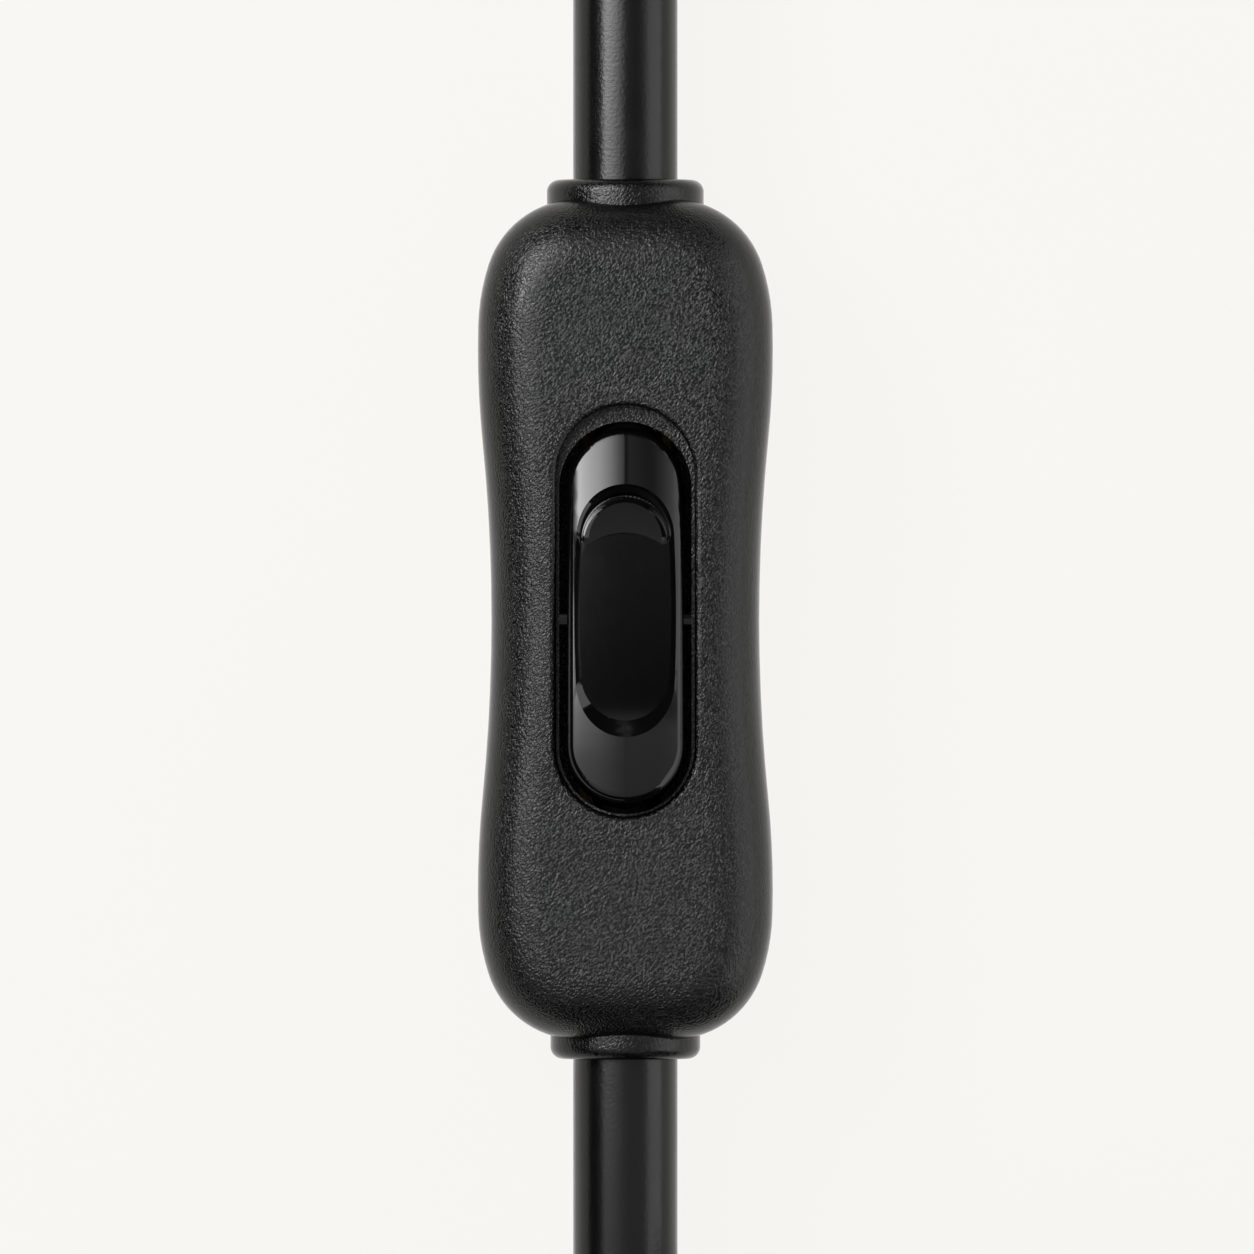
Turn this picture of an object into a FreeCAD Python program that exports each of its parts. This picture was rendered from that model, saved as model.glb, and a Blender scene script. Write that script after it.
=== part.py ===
import FreeCAD, Part
import math
import os

V = FreeCAD.Vector
AXIS_X = V(1, 0, 0)
AXIS_Y = V(0, 1, 0)
AXIS_Z = V(0, 0, 1)

# An inline rocker switch on a round two-core mains cord, lying on its back with the rocker up.
# Millimetres. X across the housing, Y along the cord, origin under the middle of the housing.

# Housing plan: a slim waist, two lobes, soft shoulders and nearly flat ends
body_length = 58.8
body_height = 16.0
waist_width = 18.74
lobe_gain = 0.95
lobe_inset = 10.5
waist_share = 0.66
lobe_turn = 1.5
shoulder_turn = 16.5
shoulder_radius = 15.0

# Housing shells
wall = 1.6
overlap = 0.3
end_wall = 3.0
parting_height = 8.0
front_round = 4.4
back_round = 2.8
tongue_height = 1.0
tongue_width = 0.7
tongue_gap = 0.1

# Well in the cover, with a rounded lip and a ledge round the rocker's opening
well_length = 29.5
well_width = 10.5
well_offset = 0.58
lip_round = 0.42
ledge_depth = 1.1
ledge_ends = 2.1
ledge_side = 0.63
guard_offset = 0.1
guard_wall = 1.1
guard_depth = 2.7

# Rocker, drawn level about its pivot and then tipped
pivot_height = 13.7
rocker_tilt = 6.5
rocker_gap = 0.55
rocker_crown = 4.0
crown_radius = 8.3
profile_radius = 83.0
rocker_edge = 0.77
skirt_drop = 1.4
skirt_wall = 1.1
rocker_roof = 1.3
rib_thickness = 0.8
pin_radius = 0.75
pin_length = 1.75
pin_play = 0.04
cheek_width = 5.2
cheek_drop = 1.5
cheek_thickness = 2.3

# Dish in the rocker's face and the crescent ridge in it
dish_depth = 1.15
dish_border = 0.87
dish_front = 7.4
dish_back = 8.33
dish_side_slope = 0.95
dish_front_slope = 1.24
dish_back_slope = 0.72
crescent_margin = 0.25
crescent_hollow = 0.5
crescent_rise = 0.7
crescent_bevel = 0.4
crescent_inset = 0.12
crescent_droop = 0.23
crescent_tip = 0.37
crescent_toe = 0.05

# Plunger and its spring in the rocker's sleeve
sleeve_radius = 2.4
sleeve_bore = 1.6
sleeve_drop = 4.4
plunger_play = 0.1
plunger_tip = 7.15
plunger_length = 4.5
spring_wire = 0.4
spring_turns = 6
spring_play = 0.1

# Contact lever rocking on the knife edge of the fulcrum terminal
knife_apex = 5.38
lever_tilt = 8.0
lever_length = 15.2
lever_width = 4.4
lever_thickness = 0.7
lever_groove = 0.25
groove_half_width = 0.7
lever_play = 0.05
knife_round = 0.2
contact_station = 6.5
contact_radius = 1.2
contact_dome = 0.6
fixed_contact_radius = 1.5

# Terminals, their screws and the plinth under them
plinth_height = 0.8
strip_thickness = 0.8
strip_width = 3.0
knife_run = 2.2
pad_width = 6.4
pad_length = 4.3
terminal_station = 12.0
terminal_screw_radius = 1.25
terminal_head_radius = 2.4
terminal_head_height = 1.3
stop_width = 1.2
stop_length = 1.0
guide_gap = 0.3
guide_thickness = 0.8
guide_half_length = 2.5

# Screws that close the housing from the back
cover_screw_station = 18.2
cover_screw_radius = 1.05
cover_head_radius = 2.1
cover_head_height = 1.5
boss_radius = 1.8
foot_wall = 0.6
foot_height = 0.6
seat_depth = 1.9
head_play = 0.2
screw_grip = 4.6
cross_slot = 0.5

# Cord, bushes and clamps
cord_diameter = 7.3
cord_height = 8.0
collar_proud = 1.4
collar_depth = 1.0
inlet_collar = 10.5
outlet_collar = 11.0
collar_round = 0.85
collar_play = 0.08
neck_radius = 4.4
neck_play = 0.05
flange_radius = 5.4
flange_thickness = 1.2
jacket_inset = 8.0
core_radius = 1.2
core_spacing = 3.6
core_socket = 1.6
core_play = 0.1
conductor_radius = 0.55
conductor_offset = 2.0
live_lane = 3.65
neutral_lane_gap = 0.45
clamp_inset = 6.05
clamp_width = 2.6
clamp_strap = 1.3
clamp_seat = 10.1
clamp_screw_radius = 0.9
clamp_head_radius = 1.25
clamp_head_height = 1.1
clamp_screw_length = 6.0
clamp_hole_play = 0.15
post_radius = 1.4
post_play = 0.05
cradle_height = 3.0

# Put-away cord of the plug side, folded into a hank beyond the switch, and its tie
fold_radius = 21.9
hank_half_run = 23.0
hank_centre_y = -102.5
hank_lift = 0.7
hank_margin = 0.2
hank_rows = 2
hank_layers = 3
hank_stub = 22.0
top_turn_x = 2.0
top_turn_start = -107.5
top_climb = 20.0
tie_thickness = 0.4
tie_width = 3.5
tie_play = 0.1
tie_station = 8.0
tie_twist_inner = 4.0
tie_twist_outer = 6.0

# Plug, lying on the hank
plug_x = 50.8
plug_cord_end_y = -120.0
plug_rest_gap = 0.05
relief_length = 22.0
relief_start_radius = 4.1
relief_end_radius = 5.4
relief_rings = 5
relief_groove = 0.55
relief_groove_share = 0.4
relief_first_groove = 0.8
plug_length = 27.0
plug_width = 24.0
plug_thickness = 14.5
plug_neck_width = 13.0
plug_neck_thickness = 11.0
plug_grip_station = 0.35
plug_grip_share = 0.915
plug_grip_taper = 0.9
plug_rim_round = 1.2
plug_corner = 4.5
blade_spacing = 12.7
blade_thickness = 1.5
blade_length = 16.5
blade_width = 6.35
neutral_blade_width = 7.94
blade_hole_radius = 1.6
blade_hole_inset = 4.0
lead_radius = 1.25
lead_length = 13.0
lead_spread = 1.6
lead_droop = 0.8
tip_radius = 0.65
tip_length = 6.0

half_body = body_length / 2
lobe_width = waist_width + 2 * lobe_gain
guard_length = well_length - ledge_ends
guard_width = well_width - 2 * ledge_side
rocker_length = guard_length - 2 * rocker_gap
rocker_width = guard_width - 2 * rocker_gap
dish_half_width = rocker_width / 2 - dish_border
crescent_radius = dish_half_width - crescent_margin
cord_radius = cord_diameter / 2
clamp_screw_offset = cord_radius + post_radius + post_play
clamp_span = 2 * (clamp_screw_offset + clamp_head_radius)
mouth = half_body + collar_proud
plinth_top = wall + plinth_height
strip_top = plinth_top + strip_thickness
strip_middle = plinth_top + strip_thickness / 2
knife_slope = (knife_apex - strip_middle) / knife_run
knife_height = knife_apex + strip_thickness / 2 * math.hypot(1, knife_slope)
hank_x = fold_radius + cord_diameter
hank_middle = fold_radius + cord_radius
hank_low = hank_lift + cord_radius
hank_top = hank_lift + hank_layers * cord_diameter + hank_margin
hank_fold_y = hank_centre_y + hank_half_run
top_turn_height = hank_top + plug_rest_gap + cord_radius
plug_height = hank_top + plug_rest_gap + plug_thickness / 2

# Free cord from the plug-side bush to the hank, and from the hank's top to the plug, points chosen by hand
plug_cord_points = [
    V(0, -mouth, cord_height),
    V(0, -43.5, cord_height),
    V(0, hank_fold_y + hank_stub, 6.5806),
]
plug_tail_points = [
    V(top_turn_x, top_turn_start, top_turn_height),
    V(top_turn_x, -140.6, top_turn_height),
    V(16.3, -154.9, 27.6),
    V(36.5, -154.9, 28.9),
    V(plug_x, -140.6, plug_height),
    V(plug_x, plug_cord_end_y, plug_height),
]

# Free cord from the lamp-side bush, bent aside beyond the switch
lamp_cord_points = [
    V(0, mouth, cord_height),
    V(0, 41.0, cord_height),
    V(0, 51.5, 7.5),
    V(2.9, 63.1, 6.6),
    V(9.4, 74.4, 5.4),
    V(18.9, 83.3, 4.4),
    V(30.6, 89.0, 3.7),
]


def tangent_arc(point, heading, radius, turn):
    """An arc that starts along heading and turns left by turn degrees, with its end and new heading."""
    side = math.copysign(1, turn)
    across = V(-math.sin(math.radians(heading)), math.cos(math.radians(heading)), 0)
    centre = point + across * (radius * side)
    spoke = point - centre
    ends = []
    for part in (0.5, 1):
        swing = FreeCAD.Rotation(AXIS_Z, turn * part)
        ends.append(centre + swing.multVec(spoke))
    return Part.Arc(point, ends[0], ends[1]).toShape(), ends[1], heading + turn


def housing_plan(inset):
    """The housing's plan, drawn inward by inset, as a face at height zero."""
    gain = (lobe_width - waist_width) / 2
    station = half_body - lobe_inset
    taper = 2 * math.degrees(math.atan(gain / station))
    radii = station / math.sin(math.radians(taper))
    waist_radius = waist_share * radii
    lobe_radius = radii - waist_radius
    turned = math.sin(math.radians(lobe_turn + shoulder_turn))
    lobe_rise = math.sin(math.radians(lobe_turn))
    reach = station + lobe_radius * lobe_rise + shoulder_radius * (turned - lobe_rise)
    corner_radius = (half_body - reach) / (1 - turned)
    turns = [
        (waist_radius + inset, -taper),
        (lobe_radius - inset, taper + lobe_turn),
        (shoulder_radius - inset, shoulder_turn),
        (corner_radius - inset, 90 - lobe_turn - shoulder_turn),
    ]
    point = V(waist_width / 2 - inset, 0, 0)
    heading = 90
    side = []
    for radius, turn in turns:
        edge, point, heading = tangent_arc(point, heading, radius, turn)
        side.append(edge)
    side += [edge.mirror(V(), AXIS_Y) for edge in side]
    side += [edge.mirror(V(), AXIS_X) for edge in side]
    for end in (1, -1):
        side.append(Part.LineSegment(V(point.x, end * point.y, 0), V(-point.x, end * point.y, 0)).toShape())
    return Part.Face(Part.Wire(Part.__sortEdges__(side)))


def prism(face, low, high):
    """A face at height zero raised to a solid from low to high."""
    raised = face.copy()
    raised.translate(V(0, 0, low))
    return raised.extrude(V(0, 0, high - low)).removeSplitter()


def edges_at(shape, height):
    """The edges that lie wholly at one height."""
    found = []
    for edge in shape.Edges:
        box = edge.BoundBox
        if abs(box.ZMin - height) < 0.001 and abs(box.ZMax - height) < 0.001:
            found.append(edge)
    return found


def cylinder(radius, low, high, x=0, y=0):
    """An upright cylinder from low to high."""
    return Part.makeCylinder(radius, high - low, V(x, y, low), AXIS_Z)


def rod(radius, start, end):
    """A round rod between two points."""
    return Part.makeCylinder(radius, (end - start).Length, start, end - start)


def block(x0, x1, y0, y1, z0, z1):
    """An upright box between two corners."""
    return Part.makeBox(x1 - x0, y1 - y0, z1 - z0, V(x0, y0, z0))


def racetrack(half_width, y_low, y_high, bulge, height):
    """A closed outline with straight sides and half-ellipse ends that bulge by the given length."""
    edges = []
    for end, y_end in ((1, y_high), (-1, y_low)):
        foot = y_end - end * bulge
        edges.append(half_ellipse(half_width, bulge, V(0, foot, height), end))
    for side in (1, -1):
        a = V(side * half_width, y_high - bulge, height)
        b = V(side * half_width, y_low + bulge, height)
        edges.append(Part.LineSegment(a, b).toShape())
    return Part.Wire(Part.__sortEdges__(edges))


def half_ellipse(half_width, bulge, centre, end):
    """Half an ellipse across X that bulges towards +Y or -Y, or half a circle where both are equal."""
    right = centre + V(half_width, 0, 0)
    left = centre - V(half_width, 0, 0)
    top = centre + V(0, end * bulge, 0)
    if abs(half_width - bulge) < 0.001:
        return Part.Arc(right, top, left).toShape()
    if half_width > bulge:
        curve = Part.Ellipse(right, top, centre)
        span = (0, math.pi)
    else:
        curve = Part.Ellipse(top, right, centre)
        span = (-math.pi / 2, math.pi / 2)
    return Part.Edge(curve, span[0], span[1])


def stadium(length, width, centre_y, low, high):
    """An upright block with straight sides and half-round ends."""
    outline = racetrack(width / 2, centre_y - length / 2, centre_y + length / 2, width / 2, low)
    return Part.Face(outline).extrude(V(0, 0, high - low))


def folded_strip(points, thickness, width):
    """A bent strip of sheet metal: its centre line in Y and Z, thickened with mitred bends."""
    sides = ([], [])
    for i, point in enumerate(points):
        before = points[max(i - 1, 0)]
        after = points[min(i + 1, len(points) - 1)]
        into = (point - before) if i > 0 else (after - point)
        out = (after - point) if i < len(points) - 1 else into
        into.normalize()
        out.normalize()
        normal = V(0, -into.z - out.z, into.y + out.y)
        normal.normalize()
        reach = thickness / 2 / normal.dot(V(0, -into.z, into.y))
        sides[0].append(point + normal * reach)
        sides[1].append(point - normal * reach)
    loop = sides[0] + sides[1][::-1]
    face = Part.Face(Part.makePolygon(loop + loop[:1]))
    face.translate(V(-width / 2, 0, 0))
    return face.extrude(V(width, 0, 0))


def route(points):
    """Straight runs joined by tangent arcs, each as large as its two runs allow, and the arcs' radii."""
    edges = []
    radii = []
    last = points[0]
    for i in range(1, len(points) - 1):
        back = points[i - 1] - points[i]
        ahead = points[i + 1] - points[i]
        run = min(back.Length, ahead.Length)
        half_turn = (math.pi - back.getAngle(ahead)) / 2
        back.normalize()
        ahead.normalize()
        start = points[i] + back * (0.45 * run)
        end = points[i] + ahead * (0.45 * run)
        radius = 0.45 * run / math.tan(half_turn)
        middle_way = back + ahead
        middle_way.normalize()
        depth = radius / math.cos(half_turn) - radius
        edges.append(Part.LineSegment(last, start).toShape())
        edges.append(Part.Arc(start, points[i] + middle_way * depth, end).toShape())
        radii.append(radius)
        last = end
    edges.append(Part.LineSegment(last, points[-1]).toShape())
    return Part.Wire(edges), radii


def tube(points, radius, name):
    """A round tube along a route; its radii and its volume against section times length are printed."""
    path, radii = route(points)
    circle = Part.Circle(points[0], points[1] - points[0], radius).toShape()
    solid = path.makePipeShell([Part.Wire(circle)], True, True)
    share = solid.Volume / (math.pi * radius * radius * path.Length)
    print(name, "radii", [round(r, 1) for r in radii], "length", round(path.Length, 1), "volume", round(share, 4))
    return solid


def one_solid(shape):
    """The single solid of a finished piece, without leftover seams."""
    cleaned = shape.removeSplitter()
    return cleaned.Solids[0] if len(cleaned.Solids) == 1 else cleaned


def shell_cavity(low, high, round_low, round_high):
    """The space inside the housing walls between two heights, with its outer edges rounded."""
    space = prism(housing_plan(wall), low, high)
    if round_high > 0:
        space = space.makeFillet(round_high, edges_at(space, high))
    if round_low > 0:
        space = space.makeFillet(round_low, edges_at(space, low))
    reach = half_body - end_wall
    return space.common(block(-lobe_width, lobe_width, -reach, reach, low, high))


def cord_passages():
    """Bush necks and collar seats through both end walls."""
    cuts = []
    for end, collar in ((-1, inlet_collar), (1, outlet_collar)):
        inner = V(0, end * (half_body - end_wall - 1), cord_height)
        outer = V(0, end * (half_body + 1), cord_height)
        seat = V(0, end * (half_body - collar_depth), cord_height)
        cuts.append(rod(neck_radius + neck_play, inner, outer))
        cuts.append(rod(collar / 2 + collar_play, seat, outer))
    return cuts


def tongue_ring(outer_inset, inner_inset, low, high):
    """A rim that follows the housing wall."""
    return prism(housing_plan(outer_inset), low, high).cut(prism(housing_plan(inner_inset), low, high))


def well_surround(shape):
    """Adds the wall round the rocker's opening and the two bearing cheeks under it."""
    top = body_height - wall / 2
    low = body_height - guard_depth
    length = well_length - 2 * lip_round + 2 * guard_wall
    width = well_width - 2 * lip_round + 2 * guard_wall
    shape = shape.fuse(stadium(length, width, well_offset, low, top))
    inner = guard_width / 2
    for side in (1, -1):
        xs = sorted((side * inner, side * (inner + cheek_thickness)))
        half = cheek_width / 2
        shape = shape.fuse(block(xs[0], xs[1], -half, half, pivot_height - cheek_drop, low + overlap))
    return shape


def cut_well(shape):
    """Opens the well and the rocker's passage, rounds the lip and bores the cheeks."""
    ledge = body_height - ledge_depth
    length = well_length - 2 * lip_round
    width = well_width - 2 * lip_round
    shape = shape.cut(stadium(length, width, well_offset, ledge, body_height + 1))
    shape = shape.cut(stadium(guard_length, guard_width, guard_offset, parting_height, body_height))
    rim = [e for e in edges_at(shape, body_height) if abs(e.BoundBox.XMax) < well_width / 2]
    shape = shape.makeFillet(lip_round, rim)
    reach = rocker_width / 2 + pin_length + pin_play
    start = V(-reach, 0, pivot_height)
    return shape.cut(rod(pin_radius + pin_play, start, V(reach, 0, pivot_height)))


def make_top_cover():
    """Upper shell: rounded front, well with its ledge, bearing cheeks, screw bosses and a locating tongue."""
    shape = prism(housing_plan(0), parting_height, body_height)
    shape = shape.makeFillet(front_round, edges_at(shape, body_height))
    shape = shape.cut(shell_cavity(parting_height, body_height - wall, 0, front_round - wall))
    shape = well_surround(shape)
    for end in (1, -1):
        boss = cylinder(boss_radius, parting_height, body_height - wall / 2, y=end * cover_screw_station)
        shape = shape.fuse(boss)
    rim = tongue_ring(wall - tongue_width, wall, parting_height - tongue_height, parting_height)
    shape = shape.fuse(rim)
    shape = cut_well(shape)
    for cut in cord_passages():
        shape = shape.cut(cut)
    for end in (1, -1):
        y = end * cover_screw_station
        shape = shape.cut(cylinder(cover_screw_radius, parting_height, parting_height + screw_grip, y=y))
    return one_solid(shape)


def base_mechanism_seat():
    """Plinth, lever guides and the stop for the open lever, all moulded on the base floor."""
    reach = terminal_station + pad_length / 2
    half = pad_width / 2
    low = wall / 2
    seat = block(-half, half, -reach, reach, low, plinth_top)
    inner = lever_width / 2 + guide_gap
    for side in (1, -1):
        xs = sorted((side * inner, side * (inner + guide_thickness)))
        guide = block(xs[0], xs[1], -guide_half_length, guide_half_length, low, knife_height)
        near = strip_width / 2 + guide_gap
        xs = sorted((side * near, side * (near + stop_width)))
        drop = lever_length / 2 * math.sin(math.radians(lever_tilt))
        stop_top = knife_height - lever_groove - drop - guide_gap / 2
        far = lever_length / 2
        stop = block(xs[0], xs[1], -far, stop_length - far, low, stop_top)
        seat = seat.fuse([guide, stop])
    return seat


def base_clamp_seats(end):
    """Posts for the clamp screws and a ribbed cradle under the cord jacket."""
    y = end * (half_body - clamp_inset)
    low = y - clamp_width / 2
    high = y + clamp_width / 2
    seat = block(-cord_radius, cord_radius, low, high, wall / 2, wall + cradle_height)
    seat = seat.cut(rod(cord_radius, V(0, low - 1, cord_height), V(0, high + 1, cord_height)))
    for side in (1, -1):
        seat = seat.fuse(cylinder(post_radius, wall / 2, clamp_seat, side * clamp_screw_offset, y))
    return seat


def make_base_cover():
    """Lower shell: rounded back, plinth, clamp posts, counterbored screw pillars and the tongue's groove."""
    shape = prism(housing_plan(0), 0, parting_height)
    shape = shape.makeFillet(back_round, edges_at(shape, 0))
    shape = shape.cut(shell_cavity(wall, parting_height, back_round - wall, 0))
    groove_low = parting_height - tongue_height - tongue_gap
    groove = tongue_ring(wall - tongue_width - tongue_gap, wall + tongue_gap, groove_low, parting_height)
    shape = shape.cut(groove)
    shape = shape.fuse(base_mechanism_seat())
    for end in (1, -1):
        shape = shape.fuse(base_clamp_seats(end))
        y = end * cover_screw_station
        foot = cover_head_radius + head_play + foot_wall
        shape = shape.fuse(cylinder(boss_radius, wall / 2, parting_height, y=y))
        shape = shape.fuse(cylinder(foot, wall / 2, seat_depth + foot_height, y=y))
    for cut in cord_passages():
        shape = shape.cut(cut)
    for end in (1, -1):
        y = end * cover_screw_station
        shape = shape.cut(cylinder(cover_screw_radius + pin_play, 0, parting_height, y=y))
        shape = shape.cut(cylinder(cover_head_radius + head_play, -1, seat_depth, y=y))
        clear = cylinder(terminal_screw_radius + pin_play, wall, plinth_top, y=end * terminal_station)
        shape = shape.cut(clear)
        for side in (1, -1):
            x = side * clamp_screw_offset
            y = end * (half_body - clamp_inset)
            low = clamp_seat + clamp_strap - clamp_screw_length
            shape = shape.cut(cylinder(clamp_screw_radius, low, clamp_seat, x, y))
    return one_solid(shape)


def cross_screw(head_radius, head_height, shank_radius, length):
    """A domed screw with its head's seat at height zero, the shank below it and a cross recess on top."""
    head = cylinder(head_radius, 0, head_height)
    head = head.makeFillet(head_height * 0.45, edges_at(head, head_height))
    screw = head.fuse(cylinder(shank_radius, -length, 0))
    arm = head_radius * 0.6
    half = cross_slot / 2
    for slot in (
        block(-arm, arm, -half, half, head_height / 2, head_height + 1),
        block(-half, half, -arm, arm, head_height / 2, head_height + 1),
    ):
        screw = screw.cut(slot)
    return one_solid(screw)


def make_cover_screws():
    """Two screws driven from the back, heads down in their counterbores."""
    length = parting_height + screw_grip - seat_depth
    screws = []
    for end in (1, -1):
        screw = cross_screw(cover_head_radius, cover_head_height, cover_screw_radius, length)
        screw.rotate(V(), AXIS_X, 180)
        screw.translate(V(0, end * cover_screw_station, seat_depth))
        screws.append(screw)
    return Part.makeCompound(screws)


def crowned_block():
    """A block whose top is crowned across X and along Y, about the rocker's pivot."""
    half = rocker_width
    edge_drop = crown_radius - math.sqrt(crown_radius**2 - (half * 0.7) ** 2)
    side = half * 0.7
    left = V(-side, 0, rocker_crown - edge_drop)
    right = V(side, 0, rocker_crown - edge_drop)
    arc = Part.Arc(left, V(0, 0, rocker_crown), right).toShape()
    low = -2 * skirt_drop - rocker_edge
    down = Part.makePolygon([right, V(side, 0, low), V(-side, 0, low), left])
    face = Part.Face(Part.Wire([arc] + down.Edges))
    sweep = 2 * math.degrees(math.asin(rocker_length * 0.6 / profile_radius))
    hub = V(0, 0, rocker_crown - profile_radius)
    face.rotate(hub, AXIS_X, -sweep / 2)
    return face.revolve(hub, AXIS_X, sweep)


def dish_tool():
    """The dish: a tray with sloping ends whose floor runs parallel to the crown along Y."""
    floor = rocker_crown - dish_depth
    outlines = []
    for height in (floor - dish_depth, floor + dish_depth):
        rise = height - floor
        # At the ends the floor has curved down, so the slopes are measured from its height there.
        back_rise = height - (floor - dish_back**2 / 2 / profile_radius)
        front_rise = height - (floor - dish_front**2 / 2 / profile_radius)
        half = dish_half_width + dish_side_slope * rise
        low = -dish_front - dish_front_slope * front_rise
        high = dish_back + dish_back_slope * back_rise
        outlines.append(racetrack(half, low, high, dish_half_width, height))
    tool = Part.makeLoft(outlines, True, True)
    side = 2 * dish_half_width
    hub = V(-side, 0, rocker_crown - profile_radius)
    return tool.cut(Part.makeCylinder(profile_radius - dish_depth, 2 * side, hub, AXIS_X))


def crescent_ridge():
    """A crescent on the dish floor: round outside, hollow inside, its top sloping into the floor."""
    top = dish_back - crescent_inset
    foot = top - crescent_radius
    tip = crescent_radius - crescent_hollow
    hollow = foot + crescent_hollow
    droop = foot - crescent_droop
    outer = Part.Arc(V(crescent_radius, foot, 0), V(0, top, 0), V(-crescent_radius, foot, 0)).toShape()
    inner = Part.Arc(V(-tip, droop, 0), V(0, hollow, 0), V(tip, droop, 0)).toShape()
    ends = []
    for side in (1, -1):
        horn = V(side * (tip + crescent_tip), droop - crescent_toe, 0)
        ends.append(Part.Arc(V(side * crescent_radius, foot, 0), horn, V(side * tip, droop, 0)).toShape())
    face = Part.Face(Part.Wire(Part.__sortEdges__([outer, inner] + ends)))
    low = rocker_crown - dish_depth - 1
    high_end = rocker_crown - dish_depth - top**2 / 2 / profile_radius + crescent_rise
    low_end = rocker_crown - dish_depth - foot**2 / 2 / profile_radius + crescent_toe
    heel = foot - crescent_hollow
    ridge = prism(face, low, rocker_crown)
    side = 2 * crescent_radius
    slope = Part.makePolygon([
        V(-side, top, high_end),
        V(-side, heel, low_end),
        V(-side, heel, rocker_crown + 1),
        V(-side, top + 1, rocker_crown + 1),
        V(-side, top + 1, high_end),
        V(-side, top, high_end),
    ])
    ridge = ridge.cut(Part.Face(slope).extrude(V(2 * side, 0, 0)))
    bevel_top = crescent_radius - crescent_bevel
    bevel = Part.makeCone(bevel_top + high_end - low, bevel_top, high_end - low, V(0, foot, low), AXIS_Z)
    return ridge.common(bevel)


def make_rocker():
    """Rocker in its own level frame: crowned stadium cap, dish, crescent, skirt, pins and plunger sleeve."""
    cap = stadium(rocker_length, rocker_width, 0, -skirt_drop, rocker_crown + 1).common(crowned_block())
    rim = [e for e in cap.Edges if e.BoundBox.ZMin > 0.5]
    cap = cap.makeFillet(rocker_edge, rim)
    cap = cap.cut(dish_tool())
    cap = cap.fuse(crescent_ridge())
    inner_length = rocker_length - 2 * skirt_wall
    inner_width = rocker_width - 2 * skirt_wall
    cap = cap.cut(stadium(inner_length, inner_width, 0, -skirt_drop - 1, rocker_roof))
    cap = cap.fuse(cylinder(sleeve_radius, -sleeve_drop, rocker_roof + overlap))
    half = rib_thickness / 2
    reach = rocker_length / 2 - skirt_wall / 2
    cap = cap.fuse(block(-half, half, -reach, reach, -skirt_drop / 2, rocker_roof + overlap))
    tip = rocker_width / 2 + pin_length
    cap = cap.fuse(rod(pin_radius, V(-tip, 0, 0), V(tip, 0, 0)))
    return one_solid(cap.cut(cylinder(sleeve_bore, -sleeve_drop - 1, rocker_roof)))


def make_plunger():
    """Nylon plunger with a round tip, in the rocker's level frame."""
    radius = sleeve_bore - plunger_play
    body = cylinder(radius, -plunger_tip + radius, -plunger_tip + plunger_length)
    return one_solid(body.fuse(Part.makeSphere(radius, V(0, 0, -plunger_tip + radius))))


def make_spring():
    """Coil spring between the plunger and the rocker's roof, in the rocker's level frame."""
    low = -plunger_tip + plunger_length + spring_wire / 2
    height = rocker_roof - spring_wire / 2 - low
    radius = sleeve_bore - spring_play - spring_wire / 2
    helix = Part.makeHelix(height / spring_turns, height, radius)
    circle = Part.Circle(V(radius, 0, 0), AXIS_Y, spring_wire / 2).toShape()
    spring = Part.Wire(helix).makePipeShell([Part.Wire(circle)], True, True)
    spring.translate(V(0, 0, low))
    return spring


def tip_with_rocker(shape):
    """Places a piece drawn in the rocker's level frame at its pivot, with the lamp end pressed in."""
    shape.rotate(V(), AXIS_X, -rocker_tilt)
    shape.translate(V(0, 0, pivot_height))
    return shape


def tip_with_lever(shape):
    """Places a piece drawn in the level lever's frame on the knife edge, with the circuit open."""
    shape.rotate(V(), AXIS_X, lever_tilt)
    shape.translate(V(0, 0, knife_height))
    return shape


def make_contact_lever():
    """Lever with a shallow groove underneath for the knife edge and a hole for its contact rivet."""
    half = lever_length / 2
    low = -lever_groove + lever_play
    lever = block(-lever_width / 2, lever_width / 2, -half, half, low, low + lever_thickness)
    groove = Part.makePolygon([
        V(-lever_width, -groove_half_width, low - 0.01),
        V(-lever_width, 0, lever_play),
        V(-lever_width, groove_half_width, low - 0.01),
        V(-lever_width, -groove_half_width, low - 0.01),
    ])
    lever = lever.cut(Part.Face(groove).extrude(V(2 * lever_width, 0, 0)))
    lever = lever.cut(rod(knife_round + lever_play, V(-lever_width, 0, 0), V(lever_width, 0, 0)))
    ends = [e for e in lever.Edges if e.BoundBox.YLength < 0.001 and e.BoundBox.XLength < 0.001]
    lever = lever.makeFillet(lever_width * 0.2, ends)
    return one_solid(lever.cut(cylinder(contact_radius / 2, -2, 2, y=contact_station)))


def make_moving_contact():
    """Silver rivet through the lever, with its domed face below."""
    low = -lever_groove + lever_play
    dome = cylinder(contact_radius, low - contact_dome, low, y=contact_station)
    dome = dome.makeFillet(contact_dome * 0.6, edges_at(dome, low - contact_dome))
    shank = cylinder(contact_radius / 2, low - 0.1, low + lever_thickness, y=contact_station)
    return one_solid(dome.fuse(shank))


def terminal_pad(end):
    """Square pad of a terminal with its screw hole."""
    y = end * terminal_station
    pad = block(-pad_width / 2, pad_width / 2, y - pad_length / 2, y + pad_length / 2, plinth_top, strip_top)
    return pad.cut(cylinder(terminal_screw_radius, plinth_top - 1, strip_top + 1, y=y))


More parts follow.
